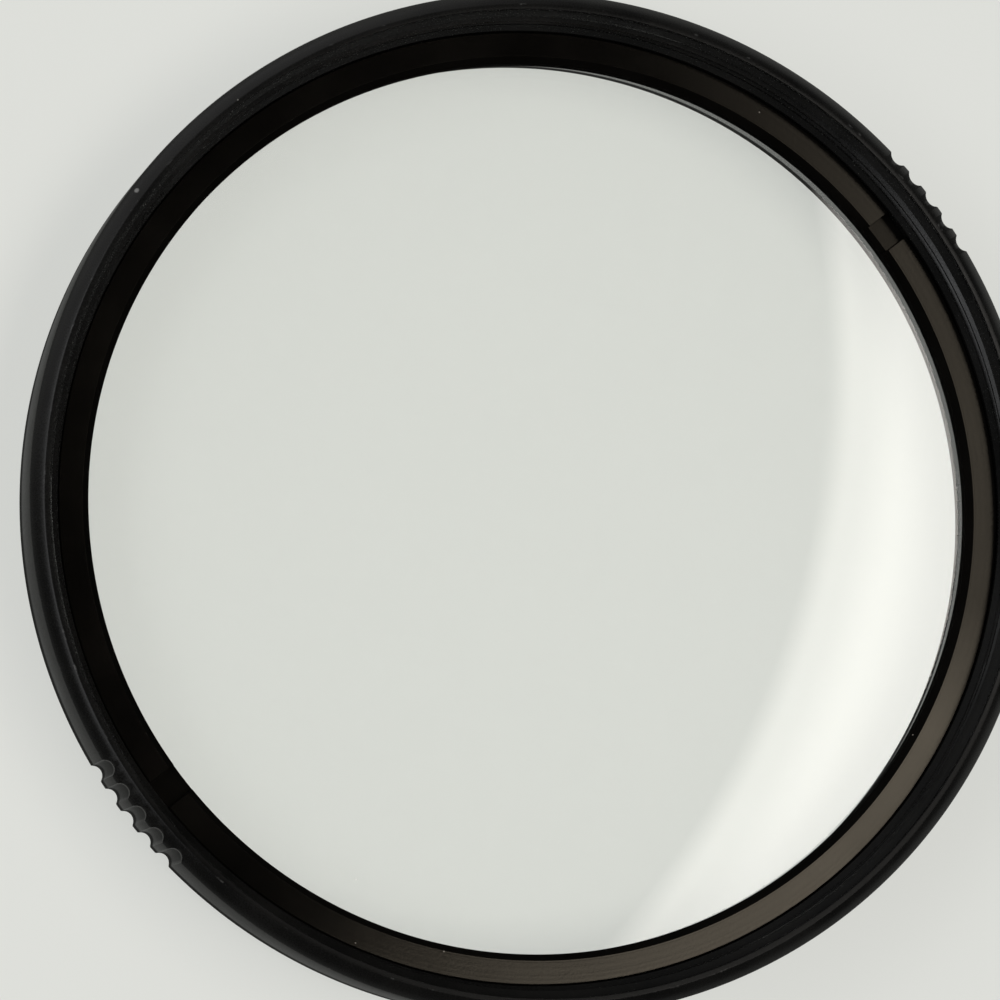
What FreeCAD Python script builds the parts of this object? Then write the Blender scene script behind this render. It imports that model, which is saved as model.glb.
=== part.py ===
import FreeCAD, Part
import math
import os

# Screw-in ultraviolet lens filter, in millimetres.
# A turned frame ring holds a plane glass window on a ledge, and a threaded ring clamps it there.
# +Z is the optical axis, from the lens to the front. The origin is the centre of the rear end
# plane, on which the filter lies. The two grip patches are centred on +X and -X.

# Thread of the mounting standard. Both threads are plain walls: the male one at its crest,
# the female one at its crest too, which lies this share of a pitch inside the nominal radius.
thread_major_r = 26.0
thread_pitch = 0.75
female_crest_share = 0.5413
male_root_share = 0.6134

# Radial steps of the frame, from the thread outwards and inwards
lead_clearance = 0.02
front_land = 0.28
bevel_width = 0.7
retainer_step = 0.27
pocket_step = 0.38
ledge_cover = 0.8

# Heights, stacked from the rear end plane to the front face
ledge_height = 1.6
glass_thickness = 2.0
retainer_thickness = 1.1
retainer_setback = 0.45
female_length = 1.42
lead_depth = 0.25
male_length = 2.2
bevel_height = 0.5

# Edges and reliefs of the frame
rear_bore_chamfer = 0.2
male_lead_chamfer = 0.4
male_relief_width = 0.45
rim_chamfer = 0.1
pocket_relief_depth = 0.25

# Grip notches: round flutes over the whole height of the rim, which run out in its bevel
notches_per_patch = 5
notch_pitch = 1.42
notch_cutter_r = 0.52
notch_depth = 0.32

# Glass window
glass_clearance = 0.1
glass_bevel = 0.15

# Retaining ring with two slots for a pin spanner
retainer_clearance = 0.04
retainer_width = 1.64
retainer_outer_chamfer = 0.08
retainer_inner_chamfer = 0.35
slot_width = 1.6
slot_depth = 0.45

# Radii worked out from the thread
male_root_r = thread_major_r - male_root_share * thread_pitch
lead_r = thread_major_r + lead_clearance
bevel_top_r = lead_r + front_land
rim_r = bevel_top_r + bevel_width
female_crest_r = thread_major_r - female_crest_share * thread_pitch
retainer_bore_r = female_crest_r - retainer_step
pocket_r = retainer_bore_r - pocket_step
glass_r = pocket_r - glass_clearance
ledge_r = glass_r - ledge_cover
retainer_r = retainer_bore_r - retainer_clearance
aperture_r = retainer_r - retainer_width

# Heights worked out by stacking
glass_top = ledge_height + glass_thickness
retainer_top = glass_top + retainer_thickness
female_foot = retainer_top + retainer_setback
female_head = female_foot + female_length
lead_foot = female_head + lead_r - female_crest_r
front = lead_foot + lead_depth

ORIGIN = FreeCAD.Vector(0, 0, 0)
AXIS = FreeCAD.Vector(0, 0, 1)


def turned(outline):
    """Solid turned about Z from a closed outline of (radius, height) points.

    The outline lies in the YZ plane, so that its seam stays clear of the notches and slots.
    """
    corners = [FreeCAD.Vector(0, radius, height) for radius, height in outline]
    face = Part.Face(Part.makePolygon(corners + corners[:1]))
    return face.revolve(ORIGIN, AXIS, 360)


def grip_cutters():
    """Upright round cutters of all notches, in two patches that face each other."""
    step = math.degrees(notch_pitch / rim_r)
    middle = (notches_per_patch - 1) / 2
    overrun = bevel_height
    foot = FreeCAD.Vector(rim_r - notch_depth + notch_cutter_r, 0, male_length - overrun)
    cutter = Part.makeCylinder(notch_cutter_r, front - male_length + 2 * overrun, foot, AXIS)
    cutters = []
    for patch_angle in (0, 180):
        for index in range(notches_per_patch):
            angle = patch_angle + (index - middle) * step
            cutters.append(cutter.rotated(ORIGIN, AXIS, angle))
    return cutters


def frame_ring():
    """Turned frame with the male thread behind, a bevelled rim with the grip, and the mouth."""
    behind = [
        (ledge_r + rear_bore_chamfer, 0),
        (thread_major_r - male_lead_chamfer, 0),
        (thread_major_r, male_lead_chamfer),
        (thread_major_r, male_length - male_relief_width),
        (male_root_r, male_length - male_relief_width),
        (male_root_r, male_length),
    ]
    rim = [
        (rim_r - rim_chamfer, male_length),
        (rim_r, male_length + rim_chamfer),
        (rim_r, front - bevel_height),
        (bevel_top_r, front),
    ]
    mouth = [
        (lead_r, front),
        (lead_r, lead_foot),
        (female_crest_r, female_head),
        (female_crest_r, female_foot),
    ]
    seat = [
        (retainer_bore_r, female_foot - retainer_step),
        (retainer_bore_r, glass_top - pocket_relief_depth),
        (pocket_r, glass_top - pocket_relief_depth),
        (pocket_r, ledge_height),
        (ledge_r, ledge_height),
        (ledge_r, rear_bore_chamfer),
    ]
    return turned(behind + rim + mouth + seat).cut(grip_cutters())


def glass_window():
    """Plane disc on the ledge, with a small bevel round both edges."""
    return turned([
        (0, ledge_height),
        (glass_r - glass_bevel, ledge_height),
        (glass_r, ledge_height + glass_bevel),
        (glass_r, glass_top - glass_bevel),
        (glass_r - glass_bevel, glass_top),
        (0, glass_top),
    ])


def retaining_ring():
    """Flat threaded ring on the glass. One pass of a cutter across it makes both slots."""
    ring = turned([
        (aperture_r, glass_top),
        (retainer_r, glass_top),
        (retainer_r, retainer_top - retainer_outer_chamfer),
        (retainer_r - retainer_outer_chamfer, retainer_top),
        (aperture_r + retainer_inner_chamfer, retainer_top),
        (aperture_r, retainer_top - retainer_inner_chamfer),
    ])
    reach = retainer_r + retainer_width
    corner = FreeCAD.Vector(-reach, -slot_width / 2, retainer_top - slot_depth)
    return ring.cut(Part.makeBox(2 * reach, slot_width, 2 * slot_depth, corner))


os.makedirs("parts", exist_ok=True)
frame_ring().exportStep("parts/frame_ring.step")
glass_window().exportStep("parts/glass_window.step")
retaining_ring().exportStep("parts/retaining_ring.step")
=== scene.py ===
import math

import bmesh
import bpy
import numpy as np
from mathutils import Matrix, Vector


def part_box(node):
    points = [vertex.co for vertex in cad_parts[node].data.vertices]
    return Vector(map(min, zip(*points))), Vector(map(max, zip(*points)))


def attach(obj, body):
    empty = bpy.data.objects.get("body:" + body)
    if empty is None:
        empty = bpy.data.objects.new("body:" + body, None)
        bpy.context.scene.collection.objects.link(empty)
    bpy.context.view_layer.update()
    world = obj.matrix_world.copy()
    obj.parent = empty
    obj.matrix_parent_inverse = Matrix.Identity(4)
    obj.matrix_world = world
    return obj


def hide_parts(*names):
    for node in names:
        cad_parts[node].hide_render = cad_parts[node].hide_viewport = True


# Looks of the screw-in lens filter. Lengths in named values are millimetres, as in the section of
# the part, and MM turns them into the metres of the scene.
MM = 0.001

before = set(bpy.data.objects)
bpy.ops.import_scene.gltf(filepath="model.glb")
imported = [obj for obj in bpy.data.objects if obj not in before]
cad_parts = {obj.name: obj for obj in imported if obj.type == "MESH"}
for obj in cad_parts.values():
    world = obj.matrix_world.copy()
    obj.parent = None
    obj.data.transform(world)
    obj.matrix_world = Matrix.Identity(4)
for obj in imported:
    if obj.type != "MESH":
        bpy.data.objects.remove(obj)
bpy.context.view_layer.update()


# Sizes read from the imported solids

def radii_of(node):
    """Smallest and largest distance from the axis that a node's vertices have, in millimetres."""
    points = np.array([vertex.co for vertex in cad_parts[node].data.vertices])
    reach = np.hypot(points[:, 0], points[:, 1]) / MM
    return float(reach.min()), float(reach.max())


def heights_of(node):
    """Lowest and highest point of a node, in millimetres."""
    low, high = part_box(node)
    return low.z / MM, high.z / MM


ledge_r, rim_r = radii_of("frame_ring")
rear, front = heights_of("frame_ring")
glass_r = radii_of("glass_window")[1]
glass_foot, glass_top = heights_of("glass_window")
aperture_r, retainer_r = radii_of("retaining_ring")
retainer_top = heights_of("retaining_ring")[1]

# Section of the frame, as the part's source has it
thread_major_r = 26.0
thread_pitch = 0.75
female_depth = 0.5413 * thread_pitch
male_depth = 0.6134 * thread_pitch
female_crest_r = thread_major_r - female_depth
male_root_r = thread_major_r - male_depth
rear_bore_chamfer = 0.2
glass_clearance = 0.1
pocket_r = glass_r + glass_clearance
pocket_relief_depth = 0.25
retainer_clearance = 0.04
retainer_bore_r = retainer_r + retainer_clearance
retainer_step = female_crest_r - retainer_bore_r
lead_clearance = 0.02
lead_r = thread_major_r + lead_clearance
lead_depth = 0.25
lead_foot = front - lead_depth
female_head = lead_foot - (lead_r - female_crest_r)
retainer_setback = 0.45
female_foot = retainer_top + retainer_setback
male_lead_chamfer = 0.4
male_length = 2.2
male_relief_width = 0.45
rim_chamfer = 0.1
bevel_height = 0.5
bevel_width = 0.7
bevel_top_r = rim_r - bevel_width
bevel_foot = front - bevel_height

# Grip notches, in two patches on the X axis
notches_per_patch = 5
notch_pitch = 1.42
notch_step = notch_pitch / rim_r
notch_cutter_r = 0.52
notch_depth = 0.32
notch_axis_r = rim_r - notch_depth + notch_cutter_r
crest_rounding = 0.05

# Retaining ring and glass
retainer_outer_chamfer = 0.08
retainer_inner_chamfer = 0.35
slot_half_width = 0.8
slot_depth = 0.45
glass_bevel = 0.15

# Broken edges, which the solids leave sharp. None takes more than the largest share of a side.
fine_edge = 0.03
worn_edge = 0.05
largest_edge_share = 0.4
shortest_side = 1e-9

# Thread form: a flat crest, a flank of 60 degrees, a flat root and the other flank
ROWS_PER_FLANK = 3
flank_slope = math.tan(math.radians(30))
male_flat_share = 0.125
female_flat_share = 0.25

# Steps of the turned meshes, in degrees. The fine step goes this far beyond the grip.
coarse_step = 0.75
fine_step = 0.12
fine_margin = 2.0

# Columns at a slot as shares of its half width, and the angle in radians where the coarse step
# starts. The edge of a slot's wall is broken up to the edge share.
slot_columns = (0.3, 0.6, 0.8, 0.92, 0.994, 1.004, 1.04, 1.15, 1.4, 1.8, 2.4)
slot_edge_share = 1.02
coarse_start = 0.09

# Beside a slot, columns run parallel to it up to the first share of its half width, and turn
# radial over the second
parallel_share = 1.2
turning_share = 2

# Points of a mesh that lie closer than this many metres are one
merge_distance = 2e-7


def column_angles():
    """Azimuths of the mesh columns in radians: close together at the grip, wider elsewhere."""
    half_patch = math.degrees(notch_step * (notches_per_patch - 1) / 2) + fine_margin
    fine = np.arange(-half_patch, half_patch + fine_step / 2, fine_step)
    coarse = np.arange(half_patch + coarse_step, 180 - half_patch, coarse_step)
    one_side = np.concatenate([fine[fine >= 0], coarse, 180 + fine])
    other_side = np.concatenate([180 + coarse, 360 + fine[fine < 0], [360]])
    return np.radians(np.concatenate([one_side, other_side]))


def rim_radius(angles):
    """Outer radius of the rim at each azimuth, with the round notches and their softened crests."""
    outer = np.full(len(angles), rim_r)
    middle = (notches_per_patch - 1) / 2
    for patch_angle in (0, math.pi):
        for index in range(notches_per_patch):
            centre = patch_angle + (index - middle) * notch_step
            offset = np.angle(np.exp(1j * (angles - centre)))
            across = notch_axis_r * np.sin(offset)
            inside = (np.abs(across) < notch_cutter_r) & (np.cos(offset) > 0)
            chord = np.sqrt(np.maximum(notch_cutter_r ** 2 - across ** 2, 0))
            wall = np.where(inside, notch_axis_r * np.cos(offset) - chord, rim_r + notch_cutter_r)
            outer = soft_minimum(outer, wall, crest_rounding)
    return outer


def soft_minimum(first, second, width):
    """The smaller of two values, rounded over where they are about equal."""
    share = np.clip(0.5 + 0.5 * (second - first) / width, 0, 1)
    return second + (first - second) * share - width * share * (1 - share)


def soft_step(value):
    """Smooth rise from 0 to 1 as value goes from 0 to 1."""
    value = np.clip(value, 0, 1)
    return value * value * (3 - 2 * value)


def thread_form(depth, crest_share):
    """Phases of one turn, from 0 to 1, and how deep the groove is there as a share of its depth."""
    flank = depth * flank_slope / thread_pitch
    root = 1 - crest_share - 2 * flank
    down = np.linspace(0, 1, ROWS_PER_FLANK + 1)
    rise_from = crest_share + flank + root
    phases = np.concatenate([crest_share + flank * down, rise_from + flank * down[:-1]])
    depths = np.concatenate([down, 1 - down[:-1]])
    return np.append(0, phases), np.append(0, depths)


def thread_rows(angles, low, high, depth, crest_share):
    """Rows of a right-hand thread between two heights: the height and groove depth per column."""
    phases, depths = thread_form(depth, crest_share)
    turns = math.ceil((high - low) / thread_pitch) + 1
    rise = thread_pitch * angles / (2 * math.pi)
    rows = []
    for turn in range(-1, turns):
        for phase, share in zip(phases, depths):
            height = low + (turn + phase) * thread_pitch + rise
            rows.append((height, depth * share))
    return rows


def clipped(rows, low, high):
    """Thread rows held between two heights, with the groove depth right where they are held."""
    heights = np.array([height for height, _ in rows])
    depths = np.array([np.full(heights.shape[1], depth) for _, depth in rows])
    held = np.clip(heights, low, high)
    for column in range(heights.shape[1]):
        depths[:, column] = np.interp(held[:, column], heights[:, column], depths[:, column])
    return held, depths


def edge_broken(before, corner, after, size):
    """The two points that a small chamfer puts in place of a corner of the section."""
    points = []
    for neighbour in (before, after):
        run = np.stack([neighbour[0] - corner[0], neighbour[1] - corner[1]])
        length = np.maximum(np.hypot(run[0], run[1]), shortest_side)
        share = np.minimum(size, largest_edge_share * length) / length
        points.append((corner[0] + run[0] * share, corner[1] + run[1] * share))
    return points


def outline_rows(corners, columns):
    """Rows of a section from corners (radius, height, edge size), each broken where it says so."""
    full = [(np.broadcast_to(r, columns), np.broadcast_to(z, columns), size) for r, z, size in corners]
    rows = []
    for index, (radius, height, size) in enumerate(full):
        if size == 0:
            rows.append((radius, height))
            continue
        before = full[index - 1][:2]
        after = full[(index + 1) % len(full)][:2]
        rows.extend(edge_broken(before, (radius, height), after, size))
    return rows


def turned_mesh(name, angles, rows, point=None):
    """Closed mesh of a section turned about the axis. Its last column meets its first."""
    bm = bmesh.new()
    grid = []
    for column, angle in enumerate(angles):
        line = []
        for radius, height in rows:
            if point:
                x, y = point(radius[column], angle)
            else:
                x = radius[column] * math.cos(angle)
                y = radius[column] * math.sin(angle)
            line.append(bm.verts.new((x * MM, y * MM, height[column] * MM)))
        grid.append(line)
    for left, right in zip(grid, grid[1:]):
        for row in range(len(rows)):
            above = (row + 1) % len(rows)
            bm.faces.new((left[row], right[row], right[above], left[above]))
    bmesh.ops.remove_doubles(bm, verts=bm.verts, dist=merge_distance)
    bmesh.ops.dissolve_degenerate(bm, edges=bm.edges, dist=merge_distance)
    bmesh.ops.recalc_face_normals(bm, faces=bm.faces)
    return finished(name, bm)


def finished(name, bm, sharp=28):
    """Object from a bmesh, smooth within its faces and crisp at its edges."""
    mesh = bpy.data.meshes.new(name)
    bm.to_mesh(mesh)
    bm.free()
    mesh.shade_smooth()
    mesh.set_sharp_from_angle(angle=math.radians(sharp))
    piece = bpy.data.objects.new(name, mesh)
    bpy.context.scene.collection.objects.link(piece)
    return piece


def frame_piece():
    """Frame ring with its notches, its bevel and both threads cut as real helices."""
    angles = column_angles()
    columns = len(angles)
    outer = rim_radius(angles)
    rear_outer = np.minimum(rim_r - rim_chamfer, outer)
    rear_chamfer_top = male_length + np.maximum(outer - rear_outer, 0)
    bevel_start = bevel_foot + bevel_height * (rim_r - outer) / bevel_width

    male_top = male_length - male_relief_width
    turns = thread_rows(angles, rear, male_top, male_depth, male_flat_share)
    held, depth = clipped(turns, rear + fine_edge, male_top)
    cone = thread_major_r - np.maximum(male_lead_chamfer - held, 0)
    male = [(np.minimum(c, thread_major_r - d), z) for c, d, z in zip(cone, depth, held)]

    turns = thread_rows(angles, female_foot, lead_foot, female_depth, female_flat_share)
    held, depth = clipped(turns, female_foot, lead_foot)
    fade = soft_step((held - female_foot) / (thread_pitch / 2))
    cone = female_crest_r + np.maximum(held - female_head, 0)
    female = [(np.maximum(c, female_crest_r + d), z) for c, d, z in zip(cone, depth * fade, held)]

    behind = outline_rows([
        (ledge_r + rear_bore_chamfer, rear, fine_edge),
        (thread_major_r - male_lead_chamfer, rear, fine_edge),
        (thread_major_r, male_lead_chamfer, 0),
    ], columns)[:4]
    rim = outline_rows([
        (male_root_r, male_top, 0),
        (male_root_r, male_length, 0),
        (rear_outer, np.full(columns, male_length), 0),
        (outer, rear_chamfer_top, 0),
        (outer, bevel_start, worn_edge),
        (bevel_top_r, front, worn_edge),
        (lead_r, front, fine_edge),
        (lead_r, lead_foot, 0),
    ], columns)
    seat = outline_rows([
        (female_crest_r, female_foot, 0),
        (retainer_bore_r, female_foot - retainer_step, 0),
        (retainer_bore_r, glass_top - pocket_relief_depth, 0),
        (pocket_r, glass_top - pocket_relief_depth, 0),
        (pocket_r, glass_foot, 0),
        (ledge_r, glass_foot, fine_edge),
        (ledge_r, rear_bore_chamfer, 0),
    ], columns)
    return turned_mesh("frame_ring_turned", angles, behind + male + rim + female[::-1] + seat)


def slotted_angles():
    """Columns of the retaining ring, with a close set at each wall of its two slots."""
    wall = slot_half_width / retainer_r
    quarter = wall * np.array(slot_columns)
    coarse = np.arange(coarse_start, math.pi - coarse_start, math.radians(coarse_step))
    first = np.concatenate([[0], quarter, coarse[coarse > quarter[-1]]])
    first = first[first < math.pi - quarter[-1]]
    half = np.concatenate([first, math.pi - quarter[::-1]])
    return np.concatenate([half, math.pi + half, [2 * math.pi]])


def slotted_point(radius, angle):
    """Place of a column's point: columns beside a slot run parallel to it and not to the centre."""
    across = retainer_r * math.sin(angle)
    parallel = 1 - float(soft_step((abs(across) / slot_half_width - parallel_share) / turning_share))
    y = (1 - parallel) * radius * math.sin(angle) + parallel * across
    if abs(y) > radius:
        y = radius * math.sin(angle)
    x = math.copysign(math.sqrt(radius ** 2 - y ** 2), math.cos(angle))
    return x, y


def retaining_piece():
    """Retaining ring with its two spanner slots, their edges broken."""
    angles = slotted_angles()
    columns = len(angles)
    rows = outline_rows([
        (aperture_r, glass_top, fine_edge),
        (retainer_r, glass_top, fine_edge),
        (retainer_r, retainer_top - retainer_outer_chamfer, 0),
        (retainer_r - retainer_outer_chamfer, retainer_top, 0),
        (aperture_r + retainer_inner_chamfer, retainer_top, 0),
        (aperture_r, retainer_top - retainer_inner_chamfer, 0),
    ], columns)
    across = np.abs(retainer_r * np.sin(angles)) / slot_half_width
    ceiling = np.where(across < 1, retainer_top - slot_depth, retainer_top)
    at_edge = (across >= 1) & (across < slot_edge_share)
    ceiling = np.where(at_edge, retainer_top - fine_edge, ceiling)
    rows = [(radius, np.minimum(height, ceiling)) for radius, height in rows]
    return turned_mesh("retaining_ring_turned", angles, rows, slotted_point)


def glass_piece():
    """Plane window with ground bevels round both edges."""
    angles = np.radians(np.arange(0, 360 + coarse_step / 2, coarse_step))
    rows = outline_rows([
        (glass_r - glass_bevel, glass_foot, 0),
        (glass_r, glass_foot + glass_bevel, fine_edge),
        (glass_r, glass_top - glass_bevel, fine_edge),
        (glass_r - glass_bevel, glass_top, 0),
    ], len(angles))
    bm = bmesh.new()
    loops = []
    for radius, height in rows:
        ring = []
        for column, angle in enumerate(angles[:-1]):
            place = (radius[column] * math.cos(angle), radius[column] * math.sin(angle), height[column])
            ring.append(bm.verts.new(Vector(place) * MM))
        loops.append(ring)
    for lower, upper in zip(loops, loops[1:]):
        for column in range(len(lower)):
            following = (column + 1) % len(lower)
            bm.faces.new((lower[column], lower[following], upper[following], upper[column]))
    bm.faces.new(loops[0][::-1])
    bm.faces.new(loops[-1])
    bmesh.ops.recalc_face_normals(bm, faces=bm.faces)
    return finished("window_pane", bm)


# Materials. The indices set how much each finish mirrors.

satin_index = 1.22
thread_painted_sheen_indices = (1.11, 1.33)
land_index = 1.2
plain_wall_index = 1.135
notch_index = 1.085
low_wall_index = 1.025
polished_bore_index = 1.9
matt_bore_index = 1.11
chamfer_index = 1.06
faced_painted_sheen_indices = (1.2, 1.32)
slot_shade_index_loss = 0.04
glass_index = 1.52

# Colours of the two finishes, where the dye is full and where it has faded, and what lies on them
frame_black = (0.0028, 0.0028, 0.0027, 1)
frame_faded = (0.0052, 0.0051, 0.0048, 1)
frame_rubbed = (0.12, 0.12, 0.118, 1)
frame_dust = (0.16, 0.155, 0.14, 1)
retainer_black = (0.0012, 0.0011, 0.001, 1)
retainer_faded = (0.0022, 0.002, 0.0018, 1)
retainer_dust = (0.14, 0.13, 0.115, 1)
warm_sheen = (1.0, 0.9, 0.74, 1)
glass_tint = (0.965, 0.975, 0.965, 1)
glass_dust = (0.8, 0.79, 0.76, 1)
glass_shadow = (0.93, 0.94, 0.93, 1)
floor_low = (0.70, 0.712, 0.68, 1)
floor_high = (0.72, 0.732, 0.70, 1)

# Where the finish changes: heights in the rear bore, and heights above the rim's rear end
polish_start = 0.75
polish_end = 0.85
low_wall_start = 0.9
low_wall_end = 1.3
notch_foot_r = rim_r - notch_depth
mask_edge = 0.01
nick_size = 0.16

# Relief of the finishes: width of the turning marks, and depths
frame_mark_width = 0.09
frame_mark_depth = 0.0018
frame_grain_depth = 0.0012
retainer_mark_width = 0.12
retainer_mark_depth = 0.0014
retainer_sand_depth = 0.0012
floor_relief = 0.02


class Nodes:
    """Short way to write a material's node tree."""

    def __init__(self, name):
        self.material = bpy.data.materials.new(name)
        self.material.use_nodes = True
        self.tree = self.material.node_tree
        self.shader = self.tree.nodes["Principled BSDF"]
        self.output = self.tree.nodes["Material Output"]

    def add(self, kind, inputs=None, **settings):
        """New node with its settings, and inputs given as values or as sockets to link."""
        node = self.tree.nodes.new(kind)
        for key, value in settings.items():
            setattr(node, key, value)
        for key, value in (inputs or {}).items():
            self.put(node.inputs[key], value)
        return node

    def put(self, socket, value):
        """Sets a socket, or links it if the value is another node's socket."""
        if isinstance(value, bpy.types.NodeSocket):
            self.tree.links.new(value, socket)
        else:
            socket.default_value = value

    def math(self, operation, *values):
        """Output of one Math node."""
        node = self.add("ShaderNodeMath", operation=operation)
        for socket, value in zip(node.inputs, values):
            self.put(socket, value)
        return node.outputs[0]

    def ranged(self, value, low, high, start=0.0, end=1.0):
        """Value taken from the range low to high onto the range start to end, and held there."""
        inputs = {"Value": value, "From Min": low, "From Max": high, "To Min": start, "To Max": end}
        return self.add("ShaderNodeMapRange", inputs).outputs[0]

    def blend(self, share, first, second):
        """Colour between two others."""
        node = self.add("ShaderNodeMix", data_type="RGBA")
        self.put(node.inputs[0], share)
        self.put(node.inputs[6], first)
        self.put(node.inputs[7], second)
        return node.outputs[2]

    def noise(self, vector, scale, detail=3.0, roughness=0.5):
        """Noise from 0 to 1 at so many features a metre."""
        inputs = {"Vector": vector, "Scale": scale, "Detail": detail, "Roughness": roughness}
        return self.add("ShaderNodeTexNoise", inputs).outputs["Fac"]

    def bump(self, height, distance, strength=1.0, normal=None):
        """Normal from a height in shares of distance, which is in metres."""
        inputs = {"Height": height, "Distance": distance, "Strength": strength}
        if normal is not None:
            inputs["Normal"] = normal
        return self.add("ShaderNodeBump", inputs).outputs[0]


def turned_coordinates(nodes):
    """Object coordinates, the distance from the axis and the height, all in metres."""
    place = nodes.add("ShaderNodeTexCoord").outputs["Object"]
    apart = nodes.add("ShaderNodeSeparateXYZ", {0: place})
    squares = [nodes.math("MULTIPLY", apart.outputs[axis], apart.outputs[axis]) for axis in (0, 1)]
    radius = nodes.math("SQRT", nodes.math("ADD", *squares))
    return place, radius, apart.outputs[2]


def turning_marks(nodes, radius, height, width):
    """Fine uneven rings that a lathe leaves, as noise over radius and height alone."""
    across = nodes.add("ShaderNodeCombineXYZ", {0: radius, 1: height})
    return nodes.noise(across.outputs[0], 1 / (width * MM), 2.0, 0.6)


def dust_specks(nodes, place, cell, size, share):
    """Mask of sparse round specks: one in a share of the cells of a Voronoi pattern."""
    cells = nodes.add("ShaderNodeTexVoronoi", {"Vector": place, "Scale": 1 / (cell * MM)})
    near = nodes.ranged(cells.outputs["Distance"], size / cell, 0.6 * size / cell)
    apart = nodes.add("ShaderNodeSeparateColor", {0: cells.outputs["Color"]})
    chosen = nodes.math("GREATER_THAN", apart.outputs[0], 1 - share)
    return nodes.math("MULTIPLY", near, chosen)


def facing_share(nodes, place, radius, picture_azimuth):
    """Cosine of the azimuth between a point and a direction in the picture, in degrees from its right."""
    azimuth = math.radians(picture_azimuth - grip_direction)
    towards = (math.cos(azimuth), math.sin(azimuth), 0)
    dot = nodes.add("ShaderNodeVectorMath", {0: place, 1: towards}, operation="DOT_PRODUCT")
    return nodes.math("DIVIDE", dot.outputs["Value"], radius)


def near_circle(nodes, radius, height, circle_r, circle_z, reach):
    """Mask of what lies within reach of a circle round the axis, in millimetres."""
    offsets = [
        nodes.math("SUBTRACT", radius, circle_r * MM),
        nodes.math("SUBTRACT", height, circle_z * MM),
    ]
    squares = [nodes.math("MULTIPLY", offset, offset) for offset in offsets]
    distance = nodes.math("SQRT", nodes.math("ADD", *squares))
    return nodes.ranged(distance, reach * MM, 0.4 * reach * MM)


def anodised_frame():
    """Satin black anodised aluminium with turning marks, rubbed edges and a little dust."""
    nodes = Nodes("black_anodised_satin")
    place, radius, height = turned_coordinates(nodes)
    patches = nodes.noise(place, 160, 4.0, 0.6)
    grain = nodes.noise(place, 9000, 2.0)
    marks = turning_marks(nodes, radius, height, frame_mark_width)
    outside = nodes.ranged(radius, (notch_foot_r - 2 * worn_edge) * MM, (notch_foot_r - worn_edge) * MM)
    below_bevel = nodes.ranged(height, bevel_foot * MM, (bevel_foot - worn_edge) * MM)
    outside = nodes.math("MULTIPLY", outside, below_bevel)
    inside = nodes.ranged(radius, (ledge_r + 2 * fine_edge) * MM, (ledge_r + fine_edge) * MM)
    polished = nodes.math("MULTIPLY", inside, nodes.ranged(height, polish_start * MM, polish_end * MM))
    matt = nodes.math("SUBTRACT", inside, polished)

    nodes.put(nodes.shader.inputs["Base Color"], frame_colour(nodes, place, radius, height, patches))
    rough = nodes.ranged(patches, 0.3, 0.7, 0.22, 0.32)
    rough = nodes.math("ADD", rough, nodes.ranged(grain, 0.3, 0.7, -0.04, 0.05))
    rough = nodes.math("ADD", rough, nodes.math("MULTIPLY", outside, 0.12))
    rough = nodes.math("ADD", rough, nodes.math("MULTIPLY", matt, 0.3))
    nodes.put(nodes.shader.inputs["Roughness"], rough)
    front_index = mouth_index(nodes, place, radius)
    index = nodes.ranged(outside, 0.0, 1.0, front_index, wall_index(nodes, radius, height))
    index = nodes.ranged(polished, 0.0, 1.0, index, polished_bore_index)
    index = nodes.ranged(matt, 0.0, 1.0, index, matt_bore_index)
    nodes.put(nodes.shader.inputs["IOR"], index)
    normal = nodes.bump(marks, frame_mark_depth * MM)
    normal = nodes.bump(grain, frame_grain_depth * MM, 1.0, normal)
    nodes.put(nodes.shader.inputs["Normal"], normal)
    return nodes.material


def frame_colour(nodes, place, radius, height, patches):
    """Uneven black dye, rubbed grey at the bevel's edges and at the nick, with specks of dust."""
    dye = nodes.blend(nodes.ranged(patches, 0.35, 0.65), frame_black, frame_faded)
    edges = near_circle(nodes, radius, height, rim_r, bevel_foot, 0.08)
    edges = nodes.math("MAXIMUM", edges, near_circle(nodes, radius, height, bevel_top_r, front, 0.07))
    rubbed = nodes.math("MULTIPLY", edges, nodes.ranged(nodes.noise(place, 900, 4.0, 0.7), 0.6, 0.9))
    nick = nodes.add("ShaderNodeVectorMath", {0: place, 1: nick_place()}, operation="DISTANCE")
    nick = nodes.ranged(nick.outputs["Value"], nick_size * MM, nick_size / 2 * MM)
    rubbed = nodes.math("MAXIMUM", rubbed, nick)
    dust = dust_specks(nodes, place, 2.2, 0.06, 0.25)
    return nodes.blend(dust, nodes.blend(rubbed, dye, frame_rubbed), frame_dust)


def mouth_index(nodes, place, radius):
    """Index of the thread and the land, which mirror more on the far side, and of the bevel. The stronger
    mirroring on the far side is a painted reflection of where the light falls.
    """
    # Painted reflection: the thread and the land mirror more towards the far side, where the light falls
    far = facing_share(nodes, place, radius, far_azimuth)
    thread = nodes.ranged(far, -far_span, far_span, *thread_painted_sheen_indices)
    flat = nodes.math("MINIMUM", thread, land_index)
    inner = nodes.ranged(radius, lead_r * MM, (lead_r - fine_edge) * MM)
    index = nodes.ranged(inner, 0.0, 1.0, flat, thread)
    beyond = nodes.ranged(radius, (bevel_top_r - worn_edge) * MM, bevel_top_r * MM)
    return nodes.ranged(beyond, 0.0, 1.0, index, satin_index)


def wall_index(nodes, radius, height):
    """Index of the rim's wall, less in its notches and least along its lower edge."""
    notched = nodes.ranged(radius, (rim_r - notch_depth / 4) * MM, (rim_r - notch_depth / 2) * MM)
    index = nodes.ranged(notched, 0.0, 1.0, plain_wall_index, notch_index)
    low = nodes.ranged(height, (male_length + low_wall_end) * MM, (male_length + low_wall_start) * MM)
    return nodes.ranged(low, 0.0, 1.0, index, low_wall_index)


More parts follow.
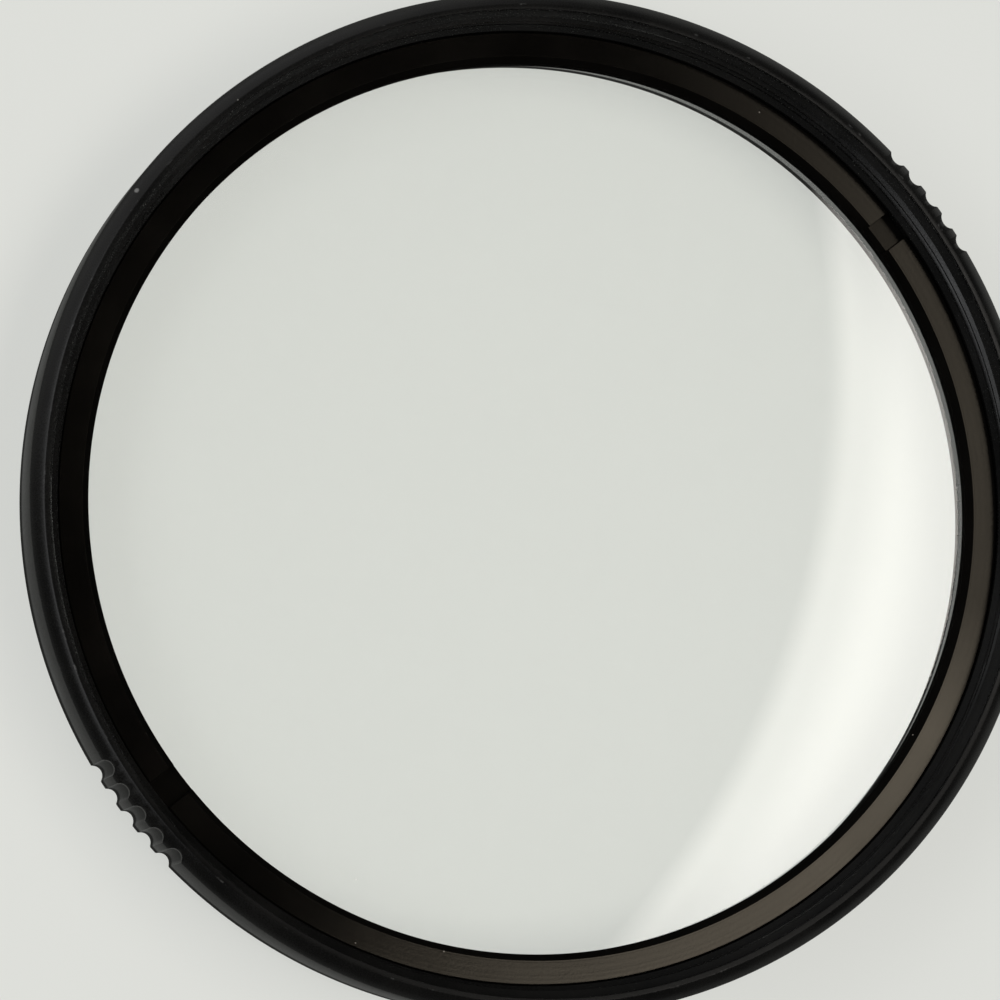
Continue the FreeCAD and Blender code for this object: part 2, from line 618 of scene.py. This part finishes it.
def nick_place():
    """Point of the small bright nick on the front bevel, as a vector in metres."""
    azimuth = math.radians(nick_azimuth)
    nick_r = rim_r - nick_share * bevel_width
    nick_z = bevel_foot + nick_share * bevel_height
    return Vector((nick_r * math.cos(azimuth), nick_r * math.sin(azimuth), nick_z)) * MM


def anodised_retainer():
    """Fine black anodising. Its faced top has a warm sheen, drawn out across the turning marks. It also
    mirrors more on the side of the window panel, which is a painted reflection of where the light falls.
    """
    nodes = Nodes("black_anodised_faced")
    place, radius, height = turned_coordinates(nodes)
    patches = nodes.noise(place, 220, 4.0, 0.6)
    sand = nodes.noise(place, 7000, 3.0, 0.6)
    marks = turning_marks(nodes, radius, height, retainer_mark_width)
    dust = dust_specks(nodes, place, 1.8, 0.05, 0.3)
    chamfer_end = aperture_r + retainer_inner_chamfer
    faced = nodes.ranged(radius, (chamfer_end - 2 * mask_edge) * MM, (chamfer_end + mask_edge) * MM)
    level = nodes.ranged(height, (retainer_top - 2 * fine_edge) * MM, (retainer_top - fine_edge) * MM)

    dye = nodes.blend(nodes.ranged(patches, 0.35, 0.65), retainer_black, retainer_faded)
    nodes.put(nodes.shader.inputs["Base Color"], nodes.blend(dust, dye, retainer_dust))
    rough = nodes.ranged(patches, 0.3, 0.7, 0.1, 0.13)
    rough = nodes.math("ADD", rough, nodes.ranged(sand, 0.3, 0.7, -0.01, 0.02))
    rough = nodes.ranged(faced, 0.0, 1.0, 0.75, rough)
    nodes.put(nodes.shader.inputs["Roughness"], rough)
    normal = nodes.bump(sand, retainer_sand_depth * MM)
    normal = nodes.bump(marks, retainer_mark_depth * MM, 1.0, normal)
    nodes.put(nodes.shader.inputs["Normal"], normal)
    across = nodes.add("ShaderNodeTangent", direction_type="RADIAL", axis="Z")
    nodes.put(nodes.shader.inputs["Tangent"], across.outputs[0])
    nodes.shader.inputs["Anisotropic"].default_value = 0.9
    nodes.shader.inputs["Anisotropic Rotation"].default_value = 0.25
    # Painted reflection: the top mirrors more on the side that faces the window panel, where its light
    # falls
    lit = facing_share(nodes, place, radius, lit_azimuth)
    index = nodes.ranged(lit, lit_from, lit_to, *faced_painted_sheen_indices)
    # Painted shade: below the top face, as on the slot floors, the finish mirrors less, as the slots lie
    # in shade
    index = nodes.math("ADD", index, nodes.ranged(level, 0.0, 1.0, -slot_shade_index_loss, 0.0))
    nodes.put(nodes.shader.inputs["IOR"], nodes.ranged(faced, 0.0, 1.0, chamfer_index, index))
    nodes.shader.inputs["Specular Tint"].default_value = warm_sheen
    return nodes.material


def window_glass():
    """Clear glass with ground bevels, faint wipe marks and a few specks of dust. Lamps shine through."""
    nodes = Nodes("clear_window_glass")
    place, radius, _ = turned_coordinates(nodes)
    bevel_start = glass_r - glass_bevel
    ground = nodes.ranged(radius, bevel_start * MM, (bevel_start + 2 * mask_edge) * MM)
    smears = nodes.noise(place, 90, 5.0, 0.65)
    dust = dust_specks(nodes, place, 4.5, 0.07, 0.35)
    rough = nodes.ranged(smears, 0.55, 0.75, 0.0, 0.04)
    rough = nodes.math("MAXIMUM", rough, nodes.math("MULTIPLY", ground, 0.45))
    rough = nodes.math("MAXIMUM", rough, nodes.math("MULTIPLY", dust, 0.6))
    nodes.put(nodes.shader.inputs["Roughness"], rough)
    nodes.put(nodes.shader.inputs["Base Color"], nodes.blend(dust, glass_tint, glass_dust))
    nodes.shader.inputs["Transmission Weight"].default_value = 1.0
    nodes.shader.inputs["IOR"].default_value = glass_index
    rays = nodes.add("ShaderNodeLightPath")
    through = nodes.add("ShaderNodeBsdfTransparent", {"Color": glass_shadow})
    mixed = nodes.add("ShaderNodeMixShader", {0: rays.outputs["Is Shadow Ray"]})
    nodes.put(mixed.inputs[1], nodes.shader.outputs[0])
    nodes.put(mixed.inputs[2], through.outputs[0])
    nodes.put(nodes.output.inputs["Surface"], mixed.outputs[0])
    return nodes.material


def floor_material():
    """Plain pale floor, hardly uneven. What sees it finds part of its colour free of shadow."""
    nodes = Nodes("pale_floor")
    place = nodes.add("ShaderNodeTexCoord").outputs["Object"]
    clouds = nodes.noise(place, 12, 3.0)
    colour = nodes.blend(clouds, floor_low, floor_high)
    nodes.put(nodes.shader.inputs["Base Color"], colour)
    nodes.shader.inputs["Roughness"].default_value = 0.8
    unevenness = nodes.noise(place, 600, 4.0)
    nodes.put(nodes.shader.inputs["Normal"], nodes.bump(unevenness, floor_relief * MM))
    rays = nodes.add("ShaderNodeLightPath")
    seen = nodes.math("MAXIMUM", rays.outputs["Is Camera Ray"], rays.outputs["Is Glossy Ray"])
    seen = nodes.math("MAXIMUM", seen, rays.outputs["Is Transmission Ray"])
    pale = nodes.add("ShaderNodeEmission", {"Color": colour, "Strength": 1.0})
    mixed = nodes.add("ShaderNodeMixShader", {0: nodes.math("MULTIPLY", seen, floor_glow)})
    nodes.put(mixed.inputs[1], nodes.shader.outputs[0])
    nodes.put(mixed.inputs[2], pale.outputs[0])
    nodes.put(nodes.output.inputs["Surface"], mixed.outputs[0])
    return nodes.material


# Camera: the photograph's view, set about the plane of the bevel's foot

view_distance = 300.0
view_tilt = 13.06
axis_direction = 28.6
grip_direction = 37.24
view_offset = Vector((2.26, -0.02, -view_distance))
pixels_per_mm = 19.093
picture_size = 1000
sensor_width = 36.0

# Place of the nick: its azimuth in the part, in degrees, and its share of the way up the bevel
nick_azimuth = 105.9
nick_share = 0.45

# Sides of the ring, in degrees from the picture's right: the far one, and the one that mirrors the window
# panel, with the cosines over which the mirroring changes. This is painted reflection: the thread and the
# land mirror more on the far side, and the retaining ring's top mirrors more on the panel's side, where
# the light falls.
far_azimuth = 95.0
far_span = 0.6
lit_azimuth = 292.0
lit_from = 0.55
lit_to = 0.78


def camera_axes():
    """Matrix that turns directions in the picture (right, up, back) into the part's frame."""
    tilt = math.radians(view_tilt)
    lean = math.radians(axis_direction)
    turn = math.radians(grip_direction)
    axis = Vector((math.sin(tilt) * math.cos(lean), math.sin(tilt) * math.sin(lean), math.cos(tilt)))
    grip = Vector((math.cos(turn), math.sin(turn), 0))
    x_axis = (grip - axis * grip.dot(axis)).normalized()
    return Matrix((x_axis, axis.cross(x_axis), axis))


def place_camera():
    """Camera with the long lens and the tilt that fit the photograph."""
    data = bpy.data.cameras.new("view")
    data.sensor_width = sensor_width
    data.lens = sensor_width * pixels_per_mm * view_distance / picture_size
    camera = bpy.data.objects.new("view", data)
    turn = camera_axes()
    target = Vector((0, 0, bevel_foot))
    camera.matrix_world = Matrix.Translation((target - turn @ view_offset) * MM) @ turn.to_4x4()
    bpy.context.scene.collection.objects.link(camera)
    bpy.context.scene.camera = camera


# Light

panel_height = 800.0
flag_place = (56.0, 120.0)
flag_r = 172.4
flag_soft = 2.5
scrim_r = 181.6
scrim_soft = 4.0
scrim_share = 0.63
floor_reach = 3000.0
floor_glow = 0.75

# Panels: their ranges to the picture's right and up, their radiance and their colour
window_right = (84, 560)
window_up = (-420, 222)
window_radiance = 5.1
window_colour = (1, 0.96, 0.9)
wide_right = (-900, -420)
wide_up = (-480, 480)
wide_radiance = 3.4
wide_colour = (0.97, 0.985, 1)

# Surround: heights on the unit sphere and colours from the horizon up, and the low glow
horizon_height = 0.08
horizon_colour = (0.6, 0.61, 0.59, 1)
sky_height = 0.15
sky_colour = (0.1, 0.1, 0.1, 1)
top_colour = (0.04, 0.04, 0.04, 1)
glow_place = (-190, 270, 120)
glow_edge = 0.62
glow_core = 0.98
glow_radiance = 1.3


def picture_point(right, up, height):
    """Point over the filter, by how far it lies to the picture's right and up, in millimetres."""
    turn = camera_axes()
    across = turn @ Vector((1, 0, 0))
    across = Vector((across.x, across.y, 0)).normalized()
    upward = Vector((-across.y, across.x, 0))
    return (across * right + upward * up + Vector((0, 0, height))) * MM


def flag_off(lamp):
    """Takes a round bite with a soft edge out of a lamp, as a flag with a narrow scrim round it does."""
    lamp.data.use_nodes = True
    tree = lamp.data.node_tree
    point = tree.nodes.new("ShaderNodeNewGeometry")
    away = tree.nodes.new("ShaderNodeVectorMath")
    away.operation = "DISTANCE"
    tree.links.new(point.outputs["Position"], away.inputs[0])
    away.inputs[1].default_value = picture_point(*flag_place, panel_height)
    steps = []
    for radius, soft, share in ((flag_r, flag_soft, scrim_share), (scrim_r, scrim_soft, 1 - scrim_share)):
        step = tree.nodes.new("ShaderNodeMapRange")
        tree.links.new(away.outputs["Value"], step.inputs["Value"])
        step.inputs["From Min"].default_value = (radius - soft) * MM
        step.inputs["From Max"].default_value = (radius + soft) * MM
        step.inputs["To Max"].default_value = share
        steps.append(step.outputs[0])
    both = tree.nodes.new("ShaderNodeMath")
    tree.links.new(steps[0], both.inputs[0])
    tree.links.new(steps[1], both.inputs[1])
    tree.links.new(both.outputs[0], tree.nodes["Emission"].inputs["Strength"])


def overhead(name, right, up, radiance, colour):
    """Level light above the filter, from its range to the picture's right and up, in millimetres.

    The radiance is what a mirror would show of it.
    """
    data = bpy.data.lights.new(name, "AREA")
    data.shape = "RECTANGLE"
    data.size = (right[1] - right[0]) * MM
    data.size_y = (up[1] - up[0]) * MM
    data.energy = 4 * radiance * data.size * data.size_y
    data.color = colour
    lamp = bpy.data.objects.new(name, data)
    lamp.location = picture_point(sum(right) / 2, sum(up) / 2, panel_height)
    across = camera_axes() @ Vector((1, 0, 0))
    lamp.rotation_euler = (0, 0, math.atan2(across.y, across.x))
    lamp.visible_camera = False
    lamp.visible_transmission = False
    bpy.context.scene.collection.objects.link(lamp)
    return lamp


def light_scene():
    """Warm panel that the glass mirrors, a wide soft one beside it, and a dim surround."""
    window = overhead("window_panel", window_right, window_up, window_radiance, window_colour)
    flag_off(window)
    overhead("wide_panel", wide_right, wide_up, wide_radiance, wide_colour)
    light_world()


def light_world():
    """Surround: pale at the horizon, dim above it, with a soft glow low at the picture's top left."""
    world = bpy.data.worlds.new("surround")
    world.use_nodes = True
    bpy.context.scene.world = world
    tree = world.node_tree
    background = tree.nodes["Background"]
    direction = tree.nodes.new("ShaderNodeTexCoord").outputs["Generated"]
    apart = tree.nodes.new("ShaderNodeSeparateXYZ")
    tree.links.new(direction, apart.inputs[0])
    ramp = tree.nodes.new("ShaderNodeValToRGB")
    tree.links.new(apart.outputs["Z"], ramp.inputs[0])
    stops = ramp.color_ramp.elements
    stops[0].position = horizon_height
    stops[0].color = horizon_colour
    stops[1].position = sky_height
    stops[1].color = sky_colour
    top = stops.new(1.0)
    top.color = top_colour
    glow_from = picture_point(*glow_place).normalized()
    facing = tree.nodes.new("ShaderNodeVectorMath")
    facing.operation = "DOT_PRODUCT"
    tree.links.new(direction, facing.inputs[0])
    facing.inputs[1].default_value = glow_from
    glow = tree.nodes.new("ShaderNodeMapRange")
    glow.interpolation_type = "SMOOTHSTEP"
    tree.links.new(facing.outputs["Value"], glow.inputs["Value"])
    glow.inputs["From Min"].default_value = glow_edge
    glow.inputs["From Max"].default_value = glow_core
    glow.inputs["To Max"].default_value = glow_radiance
    total = tree.nodes.new("ShaderNodeVectorMath")
    total.operation = "ADD"
    tree.links.new(ramp.outputs[0], total.inputs[0])
    tree.links.new(glow.outputs[0], total.inputs[1])
    tree.links.new(total.outputs[0], background.inputs["Color"])


def lay_floor():
    """Floor under the filter, large enough for every view."""
    bm = bmesh.new()
    bmesh.ops.create_circle(bm, cap_ends=True, segments=96, radius=floor_reach * MM)
    piece = finished("floor", bm)
    piece.data.materials.append(floor_material())


def dress(piece, node, material):
    """Gives a piece its material and lets it stand for its node on the one body."""
    piece.data.materials.append(material)
    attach(piece, "root")
    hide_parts(node)


dress(frame_piece(), "frame_ring", anodised_frame())
dress(retaining_piece(), "retaining_ring", anodised_retainer())
dress(glass_piece(), "glass_window", window_glass())
lay_floor()
light_scene()
place_camera()
bpy.context.scene.view_settings.view_transform = "Standard"
